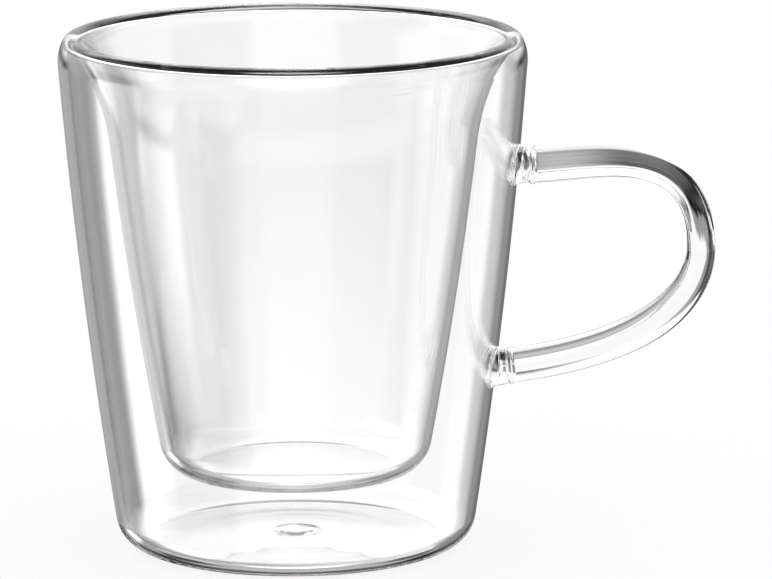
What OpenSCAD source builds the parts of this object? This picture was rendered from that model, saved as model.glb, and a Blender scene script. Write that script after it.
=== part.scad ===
// Double walled glass cup with a welded glass handle, in millimetres.
// The cup's axis is Z, it rests on the plane z = 0 and the handle points to +X.
// Every wall is a revolved outline of tangent arcs. The handle bar is a loft along two
// curves that meet, heading straight up, at the grip.

/* [Cup] */
// Height from the table to the crest of the rim
cup_h = 94; // [86:1:110]
// Diameter of the outer wall at its widest, just under the rim
body_d = 85; // [80:1:96]
// Diameter of the circle where the flat foot ring turns into the heel
foot_d = 53.6; // [48:0.2:62]

/* [Outer shell] */
// Thickness of the outer wall
shell_wall = 1.5; // [1.1:0.1:2]
// Radius of the heel between the foot ring and the wall
heel_r = 6.2; // [4:0.1:9]
// Radius of the shoulder that draws the wall in under the rim
shoulder_r = 7.2; // [6.4:0.1:9]
// Radius of the long bow of the outer wall
shell_bow_r = 1200; // [600:50:4000]
// Width of the flat ring that the cup rests on
foot_ring_w = 6.8; // [4:0.1:9]
// Height of the pushed up centre of the base
push_up_h = 0.8; // [0.6:0.1:1.6]
// Width of the slope between the foot ring and the pushed up centre
push_up_slope_w = 6; // [3:0.5:8]

/* [Rim] */
// Radius of the rim's rounded crest
crest_r = 1.6; // [1.4:0.1:1.8]
// Angle, seen from the shoulder's centre, at which the shoulder turns into the crest
shoulder_deg = 30.4; // [22:0.2:38]
// Depth below the crest of the seam where both walls are fused into the rim
seam_drop = 2; // [1.8:0.1:2.6]

/* [Inner beaker] */
// Thickness of the inner wall
beaker_wall = 1.4; // [1:0.1:1.8]
// Height of the beaker's underside above the table
beaker_lift = 13.5; // [8:0.5:20]
// Diameter of the flat part of the beaker's underside
beaker_floor_d = 36; // [30:0.5:42]
// Outer radius of the beaker's rounded bottom corner
corner_r = 7; // [5:0.25:9]
// Radius of the long bow of the beaker's wall
beaker_bow_r = 900; // [500:50:3000]
// Outer radius of the flare that carries the beaker's wall out to the rim
flare_r = 40; // [34:1:48]
// Angle below level at which the flare leaves the crest
flare_deg = 34; // [30:0.5:38]

/* [Vent seal] */
// Diameter of the vent hole that the seal closes
vent_d = 4; // [2.5:0.5:5]
// Diameter of the bead on the inside of the base
vent_bead_d = 11; // [8:0.5:12]
// Height of the bead on the inside of the base
vent_bead_h = 1; // [0.6:0.1:1.6]
// Diameter of the flattened bead under the base
vent_button_d = 8.4; // [7:0.2:11]
// Thickness of the flattened bead under the base
vent_button_h = 0.4; // [0.3:0.1:0.5]

/* [Handle] */
// Height of the handle's upper root on the outer wall
top_root_z = 70.9; // [66:0.2:76]
// Angle at which the upper arm rises away from the wall
top_rise_deg = 3; // [0:0.5:8]
// Height of the handle's lower root on the outer wall
low_root_z = 33.5; // [28:0.2:40]
// Angle at which the lower arm rises away from the wall
low_rise_deg = 9; // [4:0.5:14]
// Distance from the cup's axis to the middle of the bar at the grip
grip_reach = 74.2; // [68:0.2:82]
// Height at which the grip stands furthest out
grip_z = 56.7; // [52:0.1:60]
// How far the upper arm keeps its heading before it bends down
top_arm_pull = 9.5; // [6:0.5:16]
// How far the grip keeps its upright heading above its furthest point
grip_up_pull = 20.5; // [14:0.5:24]
// How far the lower arm keeps its heading before it bends up
low_arm_pull = 29; // [22:0.5:34]
// How far the grip keeps its upright heading below its furthest point
grip_down_pull = 7; // [3:0.5:10]
// Thickness of the bar at its roots, seen from the side
bar_t = 6.3; // [5.6:0.1:7]
// Thickness of the bar in the upper bend, where the hot rod was drawn thin
bar_thin_t = 4.8; // [4.2:0.1:5.4]
// Width of the bar at its roots, seen from the cup
bar_w = 6.9; // [6:0.1:8]
// Length of each weld between the wall and the bar
weld_l = 3.4; // [2.6:0.1:4.2]
// How far each weld's foot spreads beyond the bar
weld_spread = 0.7; // [0.3:0.1:1.2]

/* [Hidden] */

// Facets round a revolved piece
$fn = 144;
// Segments on a short arc and on a long one
short_n = 12;
long_n = 16;
// Overrun of every cut
cut = 1;

// Outer wall
seam_z = cup_h - seam_drop;
foot_r = foot_d / 2;
heel_c = [foot_r, heel_r];
shoulder_c = [
    body_d / 2 - shoulder_r,
    cup_h - crest_r - (shoulder_r - crest_r) * sin(shoulder_deg)
];
shell_bow_c = meet(heel_c, shell_bow_r - heel_r, shoulder_c, shell_bow_r - shoulder_r);
heel_deg = bearing(shell_bow_c, heel_c);
wall_top_deg = bearing(shell_bow_c, shoulder_c);

// Rim
crest_c = shoulder_c + polar(shoulder_r - crest_r, shoulder_deg);

// Inner beaker
corner_c = [beaker_floor_d / 2, beaker_lift + corner_r];
flare_c = crest_c + polar(flare_r + beaker_wall - crest_r, -flare_deg);
beaker_bow_c = meet(corner_c, beaker_bow_r - corner_r, flare_c, beaker_bow_r + flare_r);
corner_deg = bearing(beaker_bow_c, corner_c);
flare_start_deg = bearing(beaker_bow_c, flare_c);

// Handle
grip = [grip_reach, grip_z];
low_root = [wall_r_at(low_root_z), low_root_z];
top_root = [wall_r_at(top_root_z), top_root_z];
low_end = low_root + polar(weld_l, low_rise_deg);
top_end = top_root + polar(weld_l, top_rise_deg);
low_curve = [
    low_end, low_end + polar(low_arm_pull, low_rise_deg), grip - [0, grip_down_pull], grip
];
top_curve = [
    grip, grip + [0, grip_up_pull], top_end + polar(top_arm_pull, top_rise_deg), top_end
];
// Rings along each of the two curves, sides round the bar and rings along a weld
curve_rings = 26;
bar_sides = 24;
weld_rings = 8;
// Where along the bar it is thinnest, and how far the thinning reaches either way
thin_place_share = 0.62;
thin_reach_share = 0.33;

// Point at a distance and an angle
function polar(r, deg) = r * [cos(deg), sin(deg)];

// Angle of the direction from one point to another
function bearing(from, to) = atan2(to.y - from.y, to.x - from.x);

// Point on the axis side at distance ra from a and rb from b
function meet(a, ra, b, rb) =
    let (d = norm(b - a), u = (b - a) / d, along = (ra * ra - rb * rb + d * d) / (2 * d))
    a + along * u + sqrt(ra * ra - along * along) * [-u.y, u.x];

// Points of an arc, from its first angle to its last
function arc(c, r, from, to, n) =
    [for (i = [0:n]) c + polar(r, from + (to - from) * i / n)];

// The same arc without its first point, which the stretch before it already holds
function arc_on(c, r, from, to, n) =
    [for (i = [1:n]) c + polar(r, from + (to - from) * i / n)];

// Angle at which a circle reaches a height
function deg_at(c, r, z) = asin((z - c.y) / r);

// Outer wall's radius at a height
function wall_r_at(z) =
    shell_bow_c.x + sqrt(shell_bow_r * shell_bow_r - pow(z - shell_bow_c.y, 2));

// One side of the shell from heel to seam, set in from the outside by a depth
function shell_side(depth) = concat(
    arc(heel_c, heel_r - depth, -90, heel_deg, short_n),
    arc_on(shell_bow_c, shell_bow_r - depth, heel_deg, wall_top_deg, long_n),
    arc_on(shoulder_c, shoulder_r - depth, wall_top_deg,
        deg_at(shoulder_c, shoulder_r - depth, seam_z), short_n)
);

// Underside of the base from the axis to the foot ring, raised by a height
function base_line(height) = [
    [0, push_up_h + height],
    [foot_r - foot_ring_w - push_up_slope_w, push_up_h + height],
    [foot_r - foot_ring_w, height]
];

// One side of the beaker from its floor to the seam, set in from the gap by a depth
function beaker_side(depth) = concat(
    arc(corner_c, corner_r - depth, -90, corner_deg, short_n),
    arc_on(beaker_bow_c, beaker_bow_r - depth, corner_deg, flare_start_deg, long_n),
    arc_on(flare_c, flare_r + depth, 180 + flare_start_deg,
        180 - deg_at(flare_c, flare_r + depth, seam_z), long_n)
);

function backwards(list) = [for (i = [len(list) - 1:-1:0]) list[i]];

// Point and direction on a cubic curve at a place from 0 to 1
function on_curve(p, t) =
    pow(1 - t, 3) * p[0] + 3 * t * pow(1 - t, 2) * p[1]
    + 3 * t * t * (1 - t) * p[2] + pow(t, 3) * p[3];
function along_curve(p, t) =
    let (v = pow(1 - t, 2) * (p[1] - p[0]) + 2 * t * (1 - t) * (p[2] - p[1])
        + t * t * (p[3] - p[2]))
    v / norm(v);

// Length walked along a list of points, up to each of them
function walked(points, i = 0, sum = 0) = i == len(points) ? [] :
    let (step = i == 0 ? 0 : norm(points[i] - points[i - 1]))
    concat([sum + step], walked(points, i + 1, sum + step));

// Share of the drawing out that the bar has at a share of its length
function drawn(place) =
    let (off = abs(place - thin_place_share) / thin_reach_share)
    off < 1 ? pow(cos(90 * off), 2) : 0;

// Ring of points round a place in the handle's plane, square to a direction
function ring(at, along, half_t, half_w) = [
    for (i = [0:bar_sides - 1])
        let (a = 360 * i / bar_sides, side = half_t * cos(a))
        [at.x - along.y * side, half_w * sin(a), at.y + along.x * side]
];

// Solid skinned over rings that all have the same count of points
module loft(rings) {
    n = len(rings[0]);
    last = len(rings) - 1;
    sides = [
        for (k = [0:last - 1], i = [0:n - 1])
            let (a = k * n + i, b = k * n + (i + 1) % n)
            each [[a, b, b + n], [a, b + n, a + n]]
    ];
    start = [[for (i = [n - 1:-1:0]) i]];
    end = [[for (i = [0:n - 1]) last * n + i]];
    polyhedron(points = [for (r = rings) each r], faces = concat(sides, start, end));
}

// Everything inside the outer wall's outer face
module shell_body() {
    rotate_extrude()
        polygon(concat(
            base_line(0), shell_side(0), [[0, seam_z]]
        ));
}

module outer_shell() {
    inside = concat(base_line(shell_wall), shell_side(shell_wall));
    color("#e3eef0", 0.4)
        difference() {
            rotate_extrude()
                polygon(concat(base_line(0), shell_side(0), backwards(inside)));
            translate([0, 0, push_up_h - cut])
                cylinder(d = vent_d, h = shell_wall + 2 * cut);
        }
}

module inner_beaker() {
    color("#dfeaec", 0.4)
        rotate_extrude()
            polygon(concat(
                [[0, beaker_lift]], beaker_side(0),
                backwards(beaker_side(beaker_wall)), [[0, beaker_lift + beaker_wall]]
            ));
}

// Both walls run together over the top of the sealed gap
module rim_seal() {
    shell_in_deg = deg_at(shoulder_c, shoulder_r - shell_wall, seam_z);
    gap_out = shoulder_c + polar(shoulder_r - shell_wall, shell_in_deg);
    gap_in = flare_c - polar(flare_r, -deg_at(flare_c, flare_r, seam_z));
    gap_r = (gap_out.x - gap_in.x) / 2;
    gap_c = [gap_in.x + gap_r, seam_z];
    flare_face_r = flare_r + beaker_wall;
    color("#cfdee1", 0.5)
        rotate_extrude()
            polygon(concat(
                arc(shoulder_c, shoulder_r, deg_at(shoulder_c, shoulder_r, seam_z),
                    shoulder_deg, short_n),
                arc_on(crest_c, crest_r, shoulder_deg, 180 - flare_deg, long_n),
                arc_on(flare_c, flare_face_r, 180 - flare_deg,
                    180 - deg_at(flare_c, flare_face_r, seam_z), short_n),
                arc(gap_c, gap_r, 180, 0, short_n)
            ));
}

// Glass that closes the hole through which the gap breathed while the cup was hot
module vent_seal() {
    inner_z = push_up_h + shell_wall;
    bead_r = vent_bead_d / 2;
    dome_r = (bead_r * bead_r + vent_bead_h * vent_bead_h) / (2 * vent_bead_h);
    dome_c = [0, inner_z + vent_bead_h - dome_r];
    button_r = vent_button_d / 2;
    color("#cfdee1", 0.5)
        rotate_extrude()
            polygon(concat(
                [[0, push_up_h - vent_button_h]],
                arc([button_r - vent_button_h, push_up_h], vent_button_h, -90, 0, short_n),
                [[vent_d / 2, push_up_h], [vent_d / 2, inner_z]],
                arc(dome_c, dome_r, deg_at(dome_c, dome_r, inner_z), 90, short_n)
            ));
}

// One solid rod, bent in its plane and drawn thinner in the upper bend
module handle_bar() {
    shares = [for (i = [0:curve_rings]) i / curve_rings];
    points = concat(
        [for (t = shares) on_curve(low_curve, t)],
        [for (t = shares) if (t > 0) on_curve(top_curve, t)]
    );
    headings = concat(
        [for (t = shares) along_curve(low_curve, t)],
        [for (t = shares) if (t > 0) along_curve(top_curve, t)]
    );
    lengths = walked(points);
    whole = lengths[len(lengths) - 1];
    color("#d5e4e7", 0.5)
        loft([
            for (i = [0:len(points) - 1])
                let (
                    half_t = (bar_t - (bar_t - bar_thin_t) * drawn(lengths[i] / whole)) / 2
                )
                ring(points[i], headings[i], half_t, half_t * bar_w / bar_t)
        ]);
}

// Flared foot that runs from the end of the bar onto the outer wall
module weld(root, rise) {
    along = polar(1, rise);
    steps = [for (i = [0:weld_rings]) i / weld_rings];
    open_rings = [
        for (near = steps)
            let (grow = weld_spread * (1 - sqrt(1 - near * near)))
            ring(root + weld_l * (1 - near) * along, -along, bar_t / 2 + grow, bar_w / 2 + grow)
    ];
    buried_ring = ring(
        root - weld_l * along, -along, bar_t / 2 + weld_spread, bar_w / 2 + weld_spread
    );
    difference() {
        loft(concat(open_rings, [buried_ring]));
        shell_body();
    }
}

module upper_handle_weld() {
    color("#c3d5d9", 0.6)
        weld(top_root, top_rise_deg);
}

module lower_handle_weld() {
    color("#c3d5d9", 0.6)
        weld(low_root, low_rise_deg);
}

outer_shell();
inner_beaker();
rim_seal();
vent_seal();
handle_bar();
upper_handle_weld();
lower_handle_weld();
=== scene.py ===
"""A double walled glass cup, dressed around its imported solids. Lengths are in millimetres
until a mesh is finished, and every piece is then scaled to metres where it lies."""
import math

import bmesh
import bpy
from mathutils import Matrix, Vector, noise


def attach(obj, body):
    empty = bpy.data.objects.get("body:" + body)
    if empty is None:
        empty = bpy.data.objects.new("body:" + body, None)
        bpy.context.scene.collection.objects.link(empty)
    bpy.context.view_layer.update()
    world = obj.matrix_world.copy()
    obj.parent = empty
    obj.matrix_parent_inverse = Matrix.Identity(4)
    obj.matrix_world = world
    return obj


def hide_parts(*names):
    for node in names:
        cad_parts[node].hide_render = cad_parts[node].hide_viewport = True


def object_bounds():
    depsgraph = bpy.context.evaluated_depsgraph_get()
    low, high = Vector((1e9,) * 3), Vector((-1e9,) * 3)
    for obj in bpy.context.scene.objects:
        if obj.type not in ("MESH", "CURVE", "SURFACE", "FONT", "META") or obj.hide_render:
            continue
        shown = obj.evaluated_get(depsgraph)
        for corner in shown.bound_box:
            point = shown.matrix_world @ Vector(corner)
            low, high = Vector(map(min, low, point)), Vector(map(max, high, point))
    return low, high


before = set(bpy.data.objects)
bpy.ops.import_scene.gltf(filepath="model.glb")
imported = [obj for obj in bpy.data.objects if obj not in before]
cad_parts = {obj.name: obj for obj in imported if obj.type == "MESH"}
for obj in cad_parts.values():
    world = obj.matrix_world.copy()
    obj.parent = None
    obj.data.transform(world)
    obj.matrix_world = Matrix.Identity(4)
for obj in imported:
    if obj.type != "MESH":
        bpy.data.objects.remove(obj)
CAD_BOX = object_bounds()

MM = 0.001
# Points nearer to each other than this are one point
HAIR = 1e-5
# Edges of a smooth piece stay sharp above this angle
SHARP = math.radians(40)

# Joints. Fused faces keep this far apart, so that a ray meets each of them once. A face is
# part of a joint when it lies this near to it: flat on a level one, or round the vent's hole
JOINT_GAP = 0.004
NEAR_LEVEL, FLAT = 0.01, 0.9
NEAR_HOLE, UPRIGHT = 0.05, 0.1
NEAR_BAR_END = 0.1

# Outer shell
CUP_H = CAD_BOX[1].z / MM
BODY_D = 85.0
FOOT_D = 53.6
SHELL_WALL = 1.5
HEEL_R = 6.2
SHOULDER_R = 7.2
SHELL_BOW_R = 1200.0
FOOT_RING_W = 6.8
PUSH_UP_H = 0.8
PUSH_UP_SLOPE_W = 6.0

# Rim, where both walls are fused
CREST_R = 1.6
SHOULDER_DEG = 30.4
SEAM_DROP = 2.0

# Inner beaker
BEAKER_WALL = 1.4
BEAKER_LIFT = 13.5
BEAKER_FLOOR_D = 36.0
CORNER_R = 7.0
BEAKER_BOW_R = 900.0
FLARE_R = 40.0
FLARE_DEG = 34.0

# Vent seal
VENT_D = 4.0
BEAD_D = 11.0
BEAD_H = 1.0
BUTTON_D = 8.4
BUTTON_H = 0.4

# Handle
TOP_ROOT_Z = 70.9
TOP_RISE_DEG = 3.0
LOW_ROOT_Z = 33.5
LOW_RISE_DEG = 9.0
GRIP_REACH = 74.2
GRIP_Z = 56.7
TOP_ARM_PULL = 9.5
GRIP_UP_PULL = 20.5
LOW_ARM_PULL = 29.0
GRIP_DOWN_PULL = 7.0
BAR_T = 6.3
BAR_THIN_T = 4.8
BAR_W = 6.9
WELD_L = 3.4
WELD_SPREAD = 0.7
THIN_PLACE_SHARE = 0.62
THIN_REACH_SHARE = 0.33
# The upper part of the rod was pressed while hot, from here to here along the bar. The power
# of its outline is 2 for a circle and more with flatter flanks, and the lean is how much
# fatter it gets on the side of the finger
PRESS_START_SHARE, PRESS_END_SHARE = 0.44, 0.6
LOW_POWER, TOP_POWER = 2.8, 10.0
LOW_LEAN, TOP_LEAN = -0.04, 0.45
# Lines that drawing the rod left along it. Each sort has how fast the noise changes round
# the rod and along it, and its share of the depth
DRAW_DEPTH = 0.008
BROAD_LINES = (6, 3, 1)
FINE_LINES = (17, 5, 0.5)
# Crease in the flank that faces the camera. It goes from one angle to the other along the
# bar, wanders on the way and ends where the rod is pressed
CREASE_DEPTH = 0.3
LOW_CREASE_DEG, TOP_CREASE_DEG = -76.0, -12.0
CREASE_WANDER_DEG = 7.0
CREASE_WANDER_RATE, CREASE_SEED = 9, 7
CREASE_WIDE_DEG = 2.4
# Welds. A ridge stands out beside the bar, and folds were pushed into the hot glass. Places
# count from 0 at the bar to 1 at the wall, and the pressed section has gone at OVAL_PLACE
RIDGE_H, RIDGE_PLACE, RIDGE_REACH = 0.25, 0.14, 0.08
FOLD_DEPTH = 0.18
FOLD_ROUND, FOLD_ALONG = 0.8, 3.5
TOP_FOLD_SEED, LOW_FOLD_SEED = 3.7, 9.2
OVAL_PLACE = 0.8

# Fineness of the meshes
TURN_STEPS = 192
ARC_STEPS = 16
BOW_STEPS = 40
BAR_RINGS = 64
BAR_SIDES = 240
WELD_RINGS = 40
FOOT_RINGS = 8
WALL_TRIES = 4

# Camera, as the photograph was taken
VIEW_AZIMUTH = 8.0
VIEW_ELEVATION = 10.9
VIEW_ROLL = 0.25
VIEW_DISTANCE = 1100.0
VIEW_TARGET = (16.51, 2.32, 46.95)
FOCAL_PIXELS = 6039.0
FRAME_PIXELS = 772.0
SENSOR = 36.0
CLIP_M = (0.05, 20)

# Studio round the glass. Headings count in degrees to the right from the one the camera
# looks along, and heights from the horizon: (headings, heights, brightness, blur).
# White sheets and cards that show through the glass, with black flags between them
SHEETS = (
    ((-7, 28), (-24, 0.5), 0.98, 4),
    ((-16, -7), (-24, 0.5), 0.3, 3),
    ((-28, -2), (0.5, 22), 1.1, 3),
    ((-2, 14), (9, 22), 0.64, 3),
    ((1.5, 14), (0.5, 9), 1.0, 2),
    ((14, 28), (0.5, 22), 0.96, 3),
    ((-28, 18), (22, 39), 1.07, 4),
    ((18, 40), (22, 39), 0.26, 4),
    ((-15, 10), (39, 55), 1.1, 4),
    ((0, 28), (-36, -24), 0.3, 10),
    ((0, 28), (-58, -24), 0.28, 10),
    ((28, 45), (-45, -20), 0.3, 5),
    ((-65, -20), (-60, -46), 1.1, 5),
    ((-20, 60), (-60, -46), 0.58, 5),
    ((-190, 190), (-95, -60), 1.05, 5),
    ((60, 120), (-30, 50), 1.1, 5),
    ((-43, -31), (-30, -20), 0.85, 3),
    ((-92, -72), (-14, 8), 0.9, 3),
    ((130, 156), (-26, -4), 0.9, 3),
)
# Soft boxes and pale surfaces that the glass mirrors
SOFT_BOXES = (
    ((-110, -57), (7, 38), 1.04, 8),
    ((-57, -36), (9, 26), 0.95, 8),
    ((-46, -18), (26, 50), 2.2, 7),
    ((-18, 8), (26, 50), 1.5, 6),
    ((8, 50), (28, 50), 0.98, 8),
    ((-45, 30), (50, 88), 1.8, 8),
    ((-190, 190), (12, 95), 0.42, 8),
    ((-36, 38), (-2, 26), 0.88, 9),
    ((38, 66), (4, 30), 0.22, 8),
    ((-65, -36), (-8, 9), 0.59, 8),
    ((52, 112), (-24, 6), 1.24, 8),
    ((118, 160), (-24, 6), 0.2, 8),
    ((-98, -65), (-24, -8), 2.68, 6),
    ((-65, -24), (-38, -8), 0.4, 6),
    ((-24, -2), (-16, -6), 0.42, 3),
    ((1, 22), (-16, -6), 0.16, 3),
    ((20, 60), (-38, -8), 0.28, 6),
    ((-190, -142), (-42, -24), 1.6, 12),
    ((-190, -142), (-66, -42), 0.9, 12),
    ((-142, -95), (-66, -42), 1.5, 8),
    ((-95, -65), (-66, -30), 1.4, 5),
    ((60, 190), (-42, -24), 1.6, 12),
    ((60, 190), (-66, -42), 0.9, 12),
    ((-65, -38), (-66, -38), 0.75, 6),
    ((38, 60), (-66, -38), 1.35, 6),
    ((-38, 38), (-66, -52), 0.4, 6),
    ((-20, 20), (-52, -38), 0.4, 6),
    ((-190, 190), (-95, -66), 1.63, 6),
    ((-190, -96), (-12, 14), 0.5, 10),
    ((158, 190), (-12, 14), 0.5, 10),
    ((-190, -146), (-26, -10), 0.5, 8),
    ((158, 190), (-26, -10), 0.5, 8),
    ((-44, -27), (-29, -19), 0.9, 4),
    ((-190, -150), (16, 78), 0.9, 8),
    ((150, 190), (16, 78), 0.9, 8),
)
# Floor just under the foot ring: the part of its white that a shadow takes, and its own
FLOOR_DROP = 0.02
FLOOR_R = 1500.0
FLOOR_SHADED, FLOOR_LIT = "6C6C6C", "EDEDED"

# Glass. Waves of the blown walls and of the drawn rod, and the fine lines along the walls
GLASS_IOR = 1.47
WAVE_WIDE, WAVE_DEPTH = 14.0, 0.012
STREAK_WIDE, STREAK_LONG, STREAK_DEPTH = 1.6, 70.0, 0.0012
ROD_WAVE_WIDE, ROD_WAVE_DEPTH = 2.5, 0.003
# Light goes through two walls twice and round inside the rod before it is lost
BOUNCES, CLEAR_BOUNCES = 48, 32


def polar(r, deg):
    """Point of an outline at a distance and an angle."""
    return Vector((r * math.cos(math.radians(deg)), r * math.sin(math.radians(deg))))


def bearing(start, end):
    """Angle of the direction from one point to another."""
    return math.degrees(math.atan2(end.y - start.y, end.x - start.x))


def meet(a, ra, b, rb):
    """Point on the axis side at distance ra from a and rb from b."""
    d = (b - a).length
    u = (b - a) / d
    along = (ra * ra - rb * rb + d * d) / (2 * d)
    return a + along * u + math.sqrt(ra * ra - along * along) * Vector((-u.y, u.x))


def arc(centre, r, start, end, steps, first=0):
    """Points of an arc. first=1 leaves out the point that the stretch before it holds."""
    return [
        centre + polar(r, start + (end - start) * i / steps)
        for i in range(first, steps + 1)
    ]


def deg_at(centre, r, z):
    """Angle at which a circle reaches a height."""
    return math.degrees(math.asin((z - centre.y) / r))


seam_z = CUP_H - SEAM_DROP
foot_r = FOOT_D / 2
heel_c = Vector((foot_r, HEEL_R))
shoulder_c = Vector((
    BODY_D / 2 - SHOULDER_R,
    CUP_H - CREST_R - (SHOULDER_R - CREST_R) * math.sin(math.radians(SHOULDER_DEG)),
))
shell_bow_c = meet(heel_c, SHELL_BOW_R - HEEL_R, shoulder_c, SHELL_BOW_R - SHOULDER_R)
heel_deg = bearing(shell_bow_c, heel_c)
wall_top_deg = bearing(shell_bow_c, shoulder_c)
crest_c = shoulder_c + polar(SHOULDER_R - CREST_R, SHOULDER_DEG)
corner_c = Vector((BEAKER_FLOOR_D / 2, BEAKER_LIFT + CORNER_R))
flare_c = crest_c + polar(FLARE_R + BEAKER_WALL - CREST_R, -FLARE_DEG)
beaker_bow_c = meet(corner_c, BEAKER_BOW_R - CORNER_R, flare_c, BEAKER_BOW_R + FLARE_R)
corner_deg = bearing(beaker_bow_c, corner_c)
flare_start_deg = bearing(beaker_bow_c, flare_c)


def wall_r_at(z):
    """Outer wall's radius at a height."""
    return shell_bow_c.x + math.sqrt(SHELL_BOW_R ** 2 - (z - shell_bow_c.y) ** 2)


def shell_side(depth):
    """One side of the shell from heel to seam, set in from the outside by a depth."""
    top = deg_at(shoulder_c, SHOULDER_R - depth, seam_z)
    return (
        arc(heel_c, HEEL_R - depth, -90, heel_deg, ARC_STEPS)
        + arc(shell_bow_c, SHELL_BOW_R - depth, heel_deg, wall_top_deg, BOW_STEPS, 1)
        + arc(shoulder_c, SHOULDER_R - depth, wall_top_deg, top, ARC_STEPS, 1)
    )


def base_line(height, bead_d):
    """Underside of the base from the vent to the foot ring, raised by a height."""
    return [
        Vector((VENT_D / 2, PUSH_UP_H + height)),
        Vector((bead_d / 2, PUSH_UP_H + height)),
        Vector((foot_r - FOOT_RING_W - PUSH_UP_SLOPE_W, PUSH_UP_H + height)),
        Vector((foot_r - FOOT_RING_W, height)),
    ]


def beaker_side(depth):
    """One side of the beaker from its floor to the seam, set in from the gap."""
    top = 180 - deg_at(flare_c, FLARE_R + depth, seam_z)
    return (
        arc(corner_c, CORNER_R - depth, -90, corner_deg, ARC_STEPS)
        + arc(beaker_bow_c, BEAKER_BOW_R - depth, corner_deg, flare_start_deg, BOW_STEPS, 1)
        + arc(flare_c, FLARE_R + depth, 180 + flare_start_deg, top, BOW_STEPS, 1)
    )


def shell_outline():
    inside = base_line(SHELL_WALL, BEAD_D) + shell_side(SHELL_WALL)
    return base_line(0, BUTTON_D) + shell_side(0) + inside[::-1]


def beaker_outline():
    return (
        [Vector((0, BEAKER_LIFT))]
        + beaker_side(0)
        + beaker_side(BEAKER_WALL)[::-1]
        + [Vector((0, BEAKER_LIFT + BEAKER_WALL))]
    )


def rim_outline():
    low_z = seam_z + JOINT_GAP
    in_r = SHOULDER_R - SHELL_WALL
    face_r = FLARE_R + BEAKER_WALL
    gap_out = shoulder_c + polar(in_r, deg_at(shoulder_c, in_r, low_z))
    gap_in = flare_c - polar(FLARE_R, -deg_at(flare_c, FLARE_R, low_z))
    gap_r = (gap_out.x - gap_in.x) / 2
    return (
        arc(shoulder_c, SHOULDER_R, deg_at(shoulder_c, SHOULDER_R, low_z), SHOULDER_DEG,
            ARC_STEPS)
        + arc(crest_c, CREST_R, SHOULDER_DEG, 180 - FLARE_DEG, ARC_STEPS, 1)
        + arc(flare_c, face_r, 180 - FLARE_DEG, 180 - deg_at(flare_c, face_r, low_z),
              ARC_STEPS, 1)
        + arc(Vector((gap_in.x + gap_r, low_z)), gap_r, 180, 0, ARC_STEPS)
    )


def bell(r, z, height):
    """Points of a soft mound on a floor, from the axis to its edge, where it lies flat."""
    return [
        Vector((r * i / BOW_STEPS, z + height * (1 + math.cos(math.pi * i / BOW_STEPS)) / 2))
        for i in range(BOW_STEPS + 1)
    ]


def vent_outline():
    outer_z = PUSH_UP_H - JOINT_GAP
    inner_z = PUSH_UP_H + SHELL_WALL + JOINT_GAP
    plug_r = VENT_D / 2 - JOINT_GAP
    return (
        bell(BUTTON_D / 2, outer_z, -BUTTON_H)
        + [Vector((plug_r, outer_z)), Vector((plug_r, inner_z))]
        + bell(BEAD_D / 2, inner_z, BEAD_H)[::-1]
    )


def turned(name, outline, closed):
    """Piece turned about the cup's axis from an outline, closed on itself or at the axis."""
    bm = bmesh.new()
    points = [bm.verts.new((p.x, 0, p.y)) for p in outline]
    for a, b in zip(points, points[1:]):
        bm.edges.new((a, b))
    if closed:
        bm.edges.new((points[-1], points[0]))
    bmesh.ops.spin(bm, geom=bm.verts[:] + bm.edges[:], cent=(0, 0, 0), axis=(0, 0, 1),
                   angle=math.tau, steps=TURN_STEPS, use_merge=True)
    bmesh.ops.remove_doubles(bm, verts=bm.verts[:], dist=HAIR)
    bmesh.ops.recalc_face_normals(bm, faces=bm.faces[:])
    return finished(name, bm)


def finished(name, bm):
    """Scales a mesh to metres and puts it in the scene as a smooth object."""
    bmesh.ops.scale(bm, vec=(MM, MM, MM), verts=bm.verts[:])
    for face in bm.faces:
        face.smooth = True
    for edge in bm.edges:
        edge.smooth = edge.calc_face_angle(0) < SHARP
    mesh = bpy.data.meshes.new(name)
    bm.to_mesh(mesh)
    bm.free()
    piece = bpy.data.objects.new(name, mesh)
    bpy.context.scene.collection.objects.link(piece)
    return piece


def on_curve(p, t):
    """Point and direction on a cubic curve."""
    s = 1 - t
    at = s ** 3 * p[0] + 3 * t * s * s * p[1] + 3 * t * t * s * p[2] + t ** 3 * p[3]
    run = s * s * (p[1] - p[0]) + 2 * t * s * (p[2] - p[1]) + t * t * (p[3] - p[2])
    return at, run.normalized()


def handle_curves():
    """The bar's two curves in the plane of the handle, from the lower weld to the upper."""
    grip = Vector((GRIP_REACH, GRIP_Z))
    low_run, top_run = polar(1, LOW_RISE_DEG), polar(1, TOP_RISE_DEG)
    low_end = Vector((wall_r_at(LOW_ROOT_Z), LOW_ROOT_Z)) + WELD_L * low_run
    top_end = Vector((wall_r_at(TOP_ROOT_Z), TOP_ROOT_Z)) + WELD_L * top_run
    up = Vector((0, 1))
    return (
        [low_end, low_end + LOW_ARM_PULL * low_run, grip - GRIP_DOWN_PULL * up, grip],
        [grip, grip + GRIP_UP_PULL * up, top_end + TOP_ARM_PULL * top_run, top_end],
    )


def ring_matrix(at, run, half_t, half_w):
    """Places a unit circle, which lies in XY, round a point and square to a direction. Its
    +X side faces the finger."""
    side = Vector((-run.y, 0, run.x)) * half_t
    wide = Vector((0, 1, 0)) * half_w
    along = Vector((run.x, 0, run.y))
    turn = Matrix((side, wide, along)).transposed().to_4x4()
    return Matrix.Translation((at.x, 0, at.y)) @ turn


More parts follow.
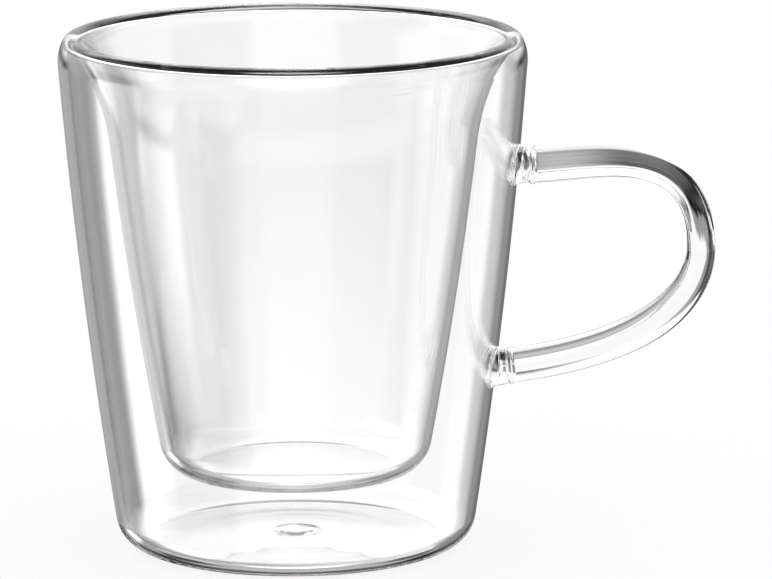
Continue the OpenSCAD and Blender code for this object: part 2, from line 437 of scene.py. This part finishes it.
def lofted(name, rings, point_at):
    """Rod skinned over a number of rings and closed at both ends. The function gives the
    points by the ring's number and the angle round it."""
    bm = bmesh.new()
    turn = bm.verts.layers.float.new("turn")
    verts = bmesh.ops.create_circle(bm, radius=1, segments=BAR_SIDES)["verts"]
    for vert in verts:
        vert[turn] = math.atan2(vert.co.y, vert.co.x)
    first = edges = bm.edges[:]
    for step in range(rings):
        if step:
            out = bmesh.ops.extrude_edge_only(bm, edges=edges)["geom"]
            edges = [g for g in out if isinstance(g, bmesh.types.BMEdge)]
            verts = [g for g in out if isinstance(g, bmesh.types.BMVert)]
        for vert in verts:
            vert.co = point_at(step, vert[turn])
    bm.verts.layers.float.remove(turn)
    bmesh.ops.edgeloop_fill(bm, edges=first)
    bmesh.ops.edgeloop_fill(bm, edges=edges)
    bmesh.ops.recalc_face_normals(bm, faces=bm.faces[:])
    return finished(name, bm)


def bar_places():
    """Matrices of the handle bar's rings, thinner in the upper bend."""
    low, top = handle_curves()
    steps = [i / BAR_RINGS for i in range(BAR_RINGS + 1)]
    stations = [on_curve(low, t) for t in steps] + [on_curve(top, t) for t in steps[1:]]
    walked = [0.0]
    for (a, _), (b, _) in zip(stations, stations[1:]):
        walked.append(walked[-1] + (b - a).length)
    places = []
    for (at, run), length in zip(stations, walked):
        off = abs(length / walked[-1] - THIN_PLACE_SHARE) / THIN_REACH_SHARE
        drawn = math.cos(math.pi / 2 * off) ** 2 if off < 1 else 0.0
        half_t = (BAR_T - (BAR_T - BAR_THIN_T) * drawn) / 2
        places.append(ring_matrix(at, run, half_t, half_t * BAR_W / BAR_T))
    return places


def ease(start, end, value):
    """Goes smoothly from 0 to 1 as a value goes from start to end."""
    t = min(max((value - start) / (end - start), 0), 1)
    return t * t * (3 - 2 * t)


def between(low, top, share):
    return low + (top - low) * share


def line_at(c, s, share, sort):
    """Height of a sort of drawn line at a place round the rod and along it."""
    rate_round, rate_along, part = sort
    return part * noise.noise(Vector((rate_round * c, rate_round * s, rate_along * share)))


def rod_point(share, angle):
    """Point of the rod's outline in a unit ring, at a share of the bar's length: a circle
    with pressed flanks, leaning towards the finger, with drawn lines and one crease."""
    c, s = math.cos(angle), math.sin(angle)
    pressed = ease(PRESS_START_SHARE, PRESS_END_SHARE, share)
    lean = between(LOW_LEAN, TOP_LEAN, pressed)
    y = math.copysign(math.sqrt(1 - abs(c) ** between(LOW_POWER, TOP_POWER, pressed)), s)
    y *= (1 + lean * c) / (1 + abs(lean) / 2)
    lines = line_at(c, s, share, BROAD_LINES) + line_at(c, s, share, FINE_LINES)
    wander = noise.noise(Vector((CREASE_WANDER_RATE * share, 0, CREASE_SEED)))
    wander *= CREASE_WANDER_DEG
    crease_deg = between(LOW_CREASE_DEG, TOP_CREASE_DEG, share) + wander
    off = (math.degrees(angle) - crease_deg) / CREASE_WIDE_DEG
    crease = math.exp(-off * off) * CREASE_DEPTH * (1 - pressed)
    return Vector((c, y, 0)) * (1 + (DRAW_DEPTH * lines - crease) / (BAR_T / 2))


def to_wall(at, run):
    """Distance from a point along a direction to the outer wall."""
    gone = 0.0
    for _ in range(WALL_TRIES):
        r = wall_r_at(at.z + gone * run.z)
        gone = (math.sqrt(r * r - at.y * at.y) - at.x) / run.x
    return gone


def weld_outline(share, seed, near, angle):
    """Point of a weld's outline: the rod's own at the bar, then a ridge and crumpled folds
    where the hot ends were pushed together, and a plain smooth oval at the wall."""
    c, s = math.cos(angle), math.sin(angle)
    point = rod_point(share, angle).lerp(Vector((c, s, 0)), ease(0, OVAL_PLACE, near))
    loose = math.sqrt(math.sin(math.pi * near)) if 0 < near < 1 else 0.0
    ridge = math.exp(-((near - RIDGE_PLACE) / RIDGE_REACH) ** 2)
    round_it = Vector((FOLD_ROUND * c, FOLD_ROUND * s, FOLD_ALONG * near + seed))
    folds = noise.noise(round_it)
    grow = RIDGE_H * ridge - FOLD_DEPTH * folds * loose * (1 - ridge)
    return point * (1 + grow / (BAR_T / 2))


def weld(name, root_z, rise, share, seed):
    """Weld skinned from the end of the bar to the wall, with its foot lying along the wall.
    Share is the end of the bar it stands at. Its rings face the finger as the bar's do."""
    run = polar(1, rise)
    outward = 1 - 2 * share
    root = Vector((wall_r_at(root_z), root_z))
    way = Vector((run.x, 0, run.y))

    def point_at(step, angle):
        near = min(step / WELD_RINGS, 1)
        filled = max(step - WELD_RINGS, 0) / (FOOT_RINGS + 1)
        grow = WELD_SPREAD * (1 - math.sqrt(1 - near * near))
        place = ring_matrix(root, run * outward, BAR_T / 2 + grow, BAR_W / 2 + grow)
        at = place @ (weld_outline(share, seed, near, angle) * (1 - filled))
        return at + way * between(WELD_L - JOINT_GAP, to_wall(at, way) + JOINT_GAP, near)

    return lofted(name, WELD_RINGS + 1 + FOOT_RINGS, point_at)


def add(nodes, kind, settings=None, inputs=None):
    """Adds a node with its settings. Its inputs, by name or place, take plain values or
    the outputs of other nodes."""
    made = nodes.new(kind)
    for name, value in (settings or {}).items():
        setattr(made, name, value)
    for place, value in (inputs or {}).items():
        if isinstance(value, bpy.types.NodeSocket):
            nodes.id_data.links.new(value, made.inputs[place])
        else:
            made.inputs[place].default_value = value
    return made


def colour(code):
    """Linear colour of an sRGB hex value."""
    parts = [int(code[i:i + 2], 16) / 255 for i in (0, 2, 4)]
    return (*(p / 12.92 if p < 0.04045 else ((p + 0.055) / 1.055) ** 2.4 for p in parts), 1)


def waves(nodes, stretch, depth, before=None):
    """Surface of soft waves. Stretch is their size along each axis in millimetres."""
    place = add(nodes, "ShaderNodeTexCoord")
    scaled = add(nodes, "ShaderNodeVectorMath", {"operation": "DIVIDE"},
                 {0: place.outputs["Object"], 1: [MM * size for size in stretch]})
    height = add(nodes, "ShaderNodeTexNoise", None,
                 {"Vector": scaled.outputs[0], "Scale": 1.0, "Detail": 1.0})
    inputs = {"Distance": MM * depth, "Height": height.outputs["Fac"]}
    if before:
        inputs["Normal"] = before.outputs[0]
    return add(nodes, "ShaderNodeBump", None, inputs)


def borosilicate(name):
    """Clear borosilicate glass, fire polished, which leaves it bright and all but flawless."""
    mat = bpy.data.materials.new(name)
    mat.use_nodes = True
    nodes = mat.node_tree.nodes
    shader = nodes["Principled BSDF"]
    shader.inputs["Base Color"].default_value = colour("FFFFFF")
    shader.inputs["Roughness"].default_value = 0.0
    shader.inputs["IOR"].default_value = GLASS_IOR
    shader.inputs["Transmission Weight"].default_value = 1.0
    return mat, nodes, shader.inputs["Normal"]


def blown_glass():
    """Walls blown and spun in a flame. Broad faint waves make what is seen through them swim
    a little, and fine upright lines from the tube they were drawn as catch the light."""
    mat, nodes, normal = borosilicate("blown_borosilicate")
    broad = waves(nodes, (WAVE_WIDE, WAVE_WIDE, WAVE_WIDE), WAVE_DEPTH)
    fine = waves(nodes, (STREAK_WIDE, STREAK_WIDE, STREAK_LONG), STREAK_DEPTH, broad)
    mat.node_tree.links.new(fine.outputs[0], normal)
    return mat


def drawn_glass():
    """Solid rod, bent and pressed in a flame. Small waves soften the streaks that its drawn
    lines and its crease put into the light."""
    mat, nodes, normal = borosilicate("drawn_borosilicate_rod")
    small = waves(nodes, (ROD_WAVE_WIDE, ROD_WAVE_WIDE, ROD_WAVE_WIDE), ROD_WAVE_DEPTH)
    mat.node_tree.links.new(small.outputs[0], normal)
    return mat


def fused_joint():
    """Where two pieces have run together while hot, no surface is left between them."""
    mat = bpy.data.materials.new("fused_joint")
    mat.use_nodes = True
    nodes = mat.node_tree.nodes
    clear = add(nodes, "ShaderNodeBsdfTransparent")
    mat.node_tree.links.new(clear.outputs[0], nodes["Material Output"].inputs["Surface"])
    return mat


def clad(piece, node, glass, fused, is_joint):
    """Gives a piece its glass, clears its joints and lets it stand for its CAD node."""
    piece.data.materials.append(glass)
    piece.data.materials.append(fused)
    for face in piece.data.polygons:
        face.material_index = 1 if is_joint(face.center / MM, face.normal) else 0
    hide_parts(node)
    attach(piece, "root")


def at_seam(centre, normal):
    """Whether a face is on the level joint where a wall and the rim are run together."""
    return abs(centre.z - seam_z) < NEAR_LEVEL and abs(normal.z) > FLAT


def at_vent(centre, normal, side):
    """Whether a face is on the joint between the shell and the vent's seal. Side is 1 for
    the shell's faces and -1 for those of the seal, which look at them."""
    r = math.hypot(centre.x, centre.y)
    up = normal.z * side
    in_off = abs(centre.z - PUSH_UP_H - SHELL_WALL)
    inner = in_off < NEAR_LEVEL and up > FLAT and r < BEAD_D / 2
    outer = abs(centre.z - PUSH_UP_H) < NEAR_LEVEL and up < -FLAT and r < BUTTON_D / 2
    hole = abs(r - VENT_D / 2) < NEAR_HOLE and abs(normal.z) < UPRIGHT
    return inner or outer or hole


def make_camera():
    """The photograph's camera: it looks at the target from an azimuth to the handle's side
    and from above, at a distance, and is rolled a little."""
    data = bpy.data.cameras.new("camera")
    data.sensor_width = SENSOR
    data.lens = FOCAL_PIXELS / FRAME_PIXELS * SENSOR
    data.clip_start, data.clip_end = CLIP_M
    camera = bpy.data.objects.new("camera", data)
    bpy.context.scene.collection.objects.link(camera)
    a, e = math.radians(VIEW_AZIMUTH), math.radians(VIEW_ELEVATION)
    back = Vector((math.sin(a) * math.cos(e), -math.cos(a) * math.cos(e), math.sin(e)))
    place = (Vector(VIEW_TARGET) + back * VIEW_DISTANCE) * MM
    turn = (-back).to_track_quat("-Z", "Y").to_matrix().to_4x4()
    roll = Matrix.Rotation(math.radians(-VIEW_ROLL), 4, "Z")
    camera.matrix_world = Matrix.Translation(place) @ turn @ roll
    bpy.context.scene.camera = camera


def card(nodes, looked_at, headings, heights, brightness, blur):
    """Brightness of a card with soft edges and round corners where a ray looks."""
    middle = (sum(headings) / 2, sum(heights) / 2, 0)
    core = ((headings[1] - headings[0] - blur) / 2, (heights[1] - heights[0] - blur) / 2, 0)
    past = looked_at
    for operation, other in (
        ("SUBTRACT", middle), ("ABSOLUTE", (0, 0, 0)), ("SUBTRACT", core), ("MAXIMUM", (0, 0, 0))
    ):
        past = add(nodes, "ShaderNodeVectorMath", {"operation": operation},
                   {0: past, 1: other}).outputs[0]
    off = add(nodes, "ShaderNodeVectorMath", {"operation": "LENGTH"}, {0: past})
    lit = add(nodes, "ShaderNodeMapRange", {"interpolation_type": "SMOOTHSTEP"},
              {"Value": off.outputs["Value"], "From Max": blur, "To Min": brightness,
               "To Max": 0})
    return lit.outputs[0]


def make_studio():
    """A white room to the camera. Glass shows the sheets and mirrors the soft boxes."""
    world = bpy.data.worlds.new("studio")
    bpy.context.scene.world = world
    world.use_nodes = True
    nodes = world.node_tree.nodes
    place = add(nodes, "ShaderNodeTexCoord")
    ahead = add(nodes, "ShaderNodeVectorRotate", {"rotation_type": "Z_AXIS"},
                {"Vector": place.outputs["Generated"], "Angle": math.radians(-VIEW_AZIMUTH)})
    parts = add(nodes, "ShaderNodeSeparateXYZ", None, {0: ahead.outputs[0]})
    x, y, z = parts.outputs
    looked_at = add(nodes, "ShaderNodeCombineXYZ")
    for axis, operation, inputs in ((0, "ARCTAN2", {0: x, 1: y}), (1, "ARCSINE", {0: z})):
        turn = add(nodes, "ShaderNodeMath", {"operation": operation}, inputs)
        degrees = add(nodes, "ShaderNodeMath", {"operation": "DEGREES"}, {0: turn.outputs[0]})
        world.node_tree.links.new(degrees.outputs[0], looked_at.inputs[axis])
    levels = []
    for listed in (SHEETS, SOFT_BOXES):
        total = 0.0
        for entry in listed:
            lit = card(nodes, looked_at.outputs[0], *entry)
            total = add(nodes, "ShaderNodeMath", {"operation": "ADD"},
                        {0: total, 1: lit}).outputs[0]
        levels.append(total)
    path = add(nodes, "ShaderNodeLightPath")
    mirrored = add(nodes, "ShaderNodeMath", {"operation": "GREATER_THAN"},
                   {0: path.outputs["Glossy Depth"], 1: 0.5})
    from_floor = add(nodes, "ShaderNodeMath", {"operation": "GREATER_THAN"},
                     {0: path.outputs["Diffuse Depth"], 1: 0.5})
    plain = add(nodes, "ShaderNodeMath", {"operation": "MAXIMUM"},
                {0: from_floor.outputs[0], 1: path.outputs["Is Camera Ray"]})
    glass_sees = add(nodes, "ShaderNodeMix", {"data_type": "FLOAT"},
                     {0: mirrored.outputs[0], 2: levels[0], 3: levels[1]})
    strength = add(nodes, "ShaderNodeMix", {"data_type": "FLOAT"},
                   {0: plain.outputs[0], 2: glass_sees.outputs[0], 3: 1.0})
    background = nodes["Background"]
    background.inputs["Color"].default_value = colour("FFFFFF")
    world.node_tree.links.new(strength.outputs[0], background.inputs["Strength"])


def make_floor():
    """White card under the cup. Most of its white is its own and the rest takes the shadow.
    Only the camera sees it, so the glass shows the studio."""
    bm = bmesh.new()
    bmesh.ops.create_circle(bm, cap_ends=True, radius=FLOOR_R, segments=TURN_STEPS)
    bmesh.ops.translate(bm, vec=(0, 0, -FLOOR_DROP), verts=bm.verts[:])
    floor = finished("floor_card", bm)
    mat = bpy.data.materials.new("white_card")
    mat.use_nodes = True
    nodes = mat.node_tree.nodes
    path = add(nodes, "ShaderNodeLightPath")
    shaded = add(nodes, "ShaderNodeBsdfDiffuse", None, {"Color": colour(FLOOR_SHADED)})
    lit = add(nodes, "ShaderNodeEmission", None, {"Color": colour(FLOOR_LIT)})
    white = add(nodes, "ShaderNodeAddShader", None, {0: shaded.outputs[0], 1: lit.outputs[0]})
    clear = add(nodes, "ShaderNodeBsdfTransparent")
    seen = add(nodes, "ShaderNodeMixShader", None,
               {0: path.outputs["Is Camera Ray"], 1: clear.outputs[0], 2: white.outputs[0]})
    mat.node_tree.links.new(seen.outputs[0], nodes["Material Output"].inputs["Surface"])
    floor.data.materials.append(mat)


def make_cup():
    """The seven pieces, each for the CAD node of the same form."""
    wall_glass = blown_glass()
    rod_glass = drawn_glass()
    fused = fused_joint()
    clad(turned("outer_wall", shell_outline(), True), "outer_shell",
         wall_glass, fused, lambda c, n: at_seam(c, n) or at_vent(c, n, 1))
    clad(turned("beaker", beaker_outline(), False), "inner_beaker",
         wall_glass, fused, at_seam)
    clad(turned("rim", rim_outline(), True), "rim_seal",
         wall_glass, fused, at_seam)
    clad(turned("vent_bead", vent_outline(), False), "vent_seal",
         wall_glass, fused, lambda c, n: at_vent(c, n, -1))
    places = bar_places()
    ends = [place.translation for place in (places[0], places[-1])]
    last = len(places) - 1

    def at_bar_end(centre, normal):
        return min((centre - end).length for end in ends) < NEAR_BAR_END

    rod = lofted("handle_rod", last + 1, lambda i, a: places[i] @ rod_point(i / last, a))
    clad(rod, "handle_bar", rod_glass, fused, at_bar_end)
    upper = weld("upper_weld", TOP_ROOT_Z, TOP_RISE_DEG, 1, TOP_FOLD_SEED)
    clad(upper, "upper_handle_weld", rod_glass, fused, at_bar_end)
    lower = weld("lower_weld", LOW_ROOT_Z, LOW_RISE_DEG, 0, LOW_FOLD_SEED)
    clad(lower, "lower_handle_weld", rod_glass, fused, at_bar_end)


make_camera()
make_cup()
make_floor()
make_studio()
bpy.context.scene.view_settings.view_transform = "Standard"
cycles = bpy.context.scene.cycles
cycles.max_bounces = cycles.transmission_bounces = cycles.glossy_bounces = BOUNCES
cycles.transparent_max_bounces = CLEAR_BOUNCES
